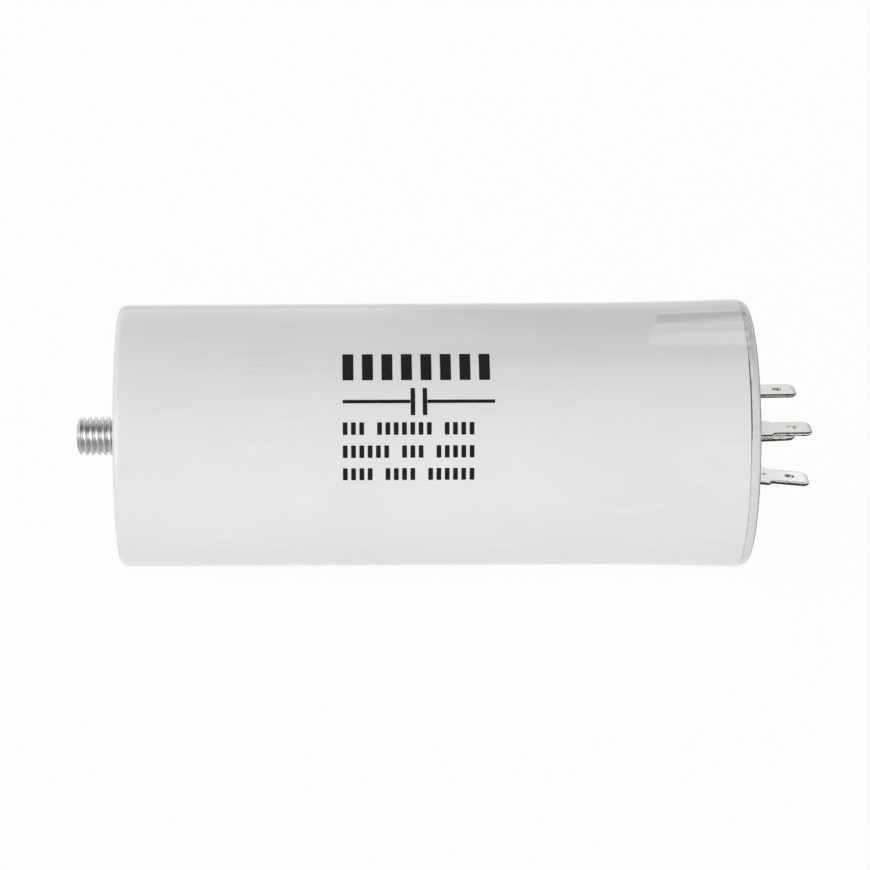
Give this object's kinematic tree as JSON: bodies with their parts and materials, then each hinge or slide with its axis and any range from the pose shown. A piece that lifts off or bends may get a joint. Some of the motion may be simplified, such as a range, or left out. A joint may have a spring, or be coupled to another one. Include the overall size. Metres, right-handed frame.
{
  "type": "motor start capacitor",
  "caption": "Cylindrical motor capacitor: white moulded plastic can with a threaded mounting stud on its base and a lid carrying riveted push-on tab terminals.",
  "frame": {"origin": "middle of the can's flat base, where the mounting stud leaves it", "axes": "+X along the can from its base to its terminals, the stud towards -X; +Z is the side that the faces of the terminals' tabs look towards"},
  "size_m": [0.1504, 0.0556, 0.0556],
  "materials": {
    "can_plastic": "white moulded plastic, slightly glossy",
    "lid_plastic": "white moulded plastic, slightly glossy",
    "stud_zinc": "bright zinc-plated steel",
    "tab_tin": "matt tinned sheet brass",
    "rivet_tin": "tinned brass",
    "tag_brass": "plain brass sheet",
    "lead_red": "insulated copper lead",
    "lead_blue": "insulated copper lead",
    "film": "metallised polypropylene film, wound",
    "core_plastic": "plain plastic tube",
    "contact_zinc": "sprayed zinc",
    "wrap_film": "plain insulating film",
    "resin": "cast potting resin"
  },
  "bodies": {
    "root": {"can": "can_plastic", "mounting_stud": "stud_zinc", "lid": "lid_plastic", "terminal_front": "tab_tin", "terminal_back": "tab_tin", "terminal_rivets": "rivet_tin", "solder_tag_front": "tag_brass", "solder_tag_back": "tag_brass", "upper_lead": "lead_red", "lower_lead": "lead_blue", "winding": "film", "core_tube": "core_plastic", "upper_contact": "contact_zinc", "lower_contact": "contact_zinc", "winding_wrap": "wrap_film", "potting_resin": "resin"}
  },
  "joints": []
}
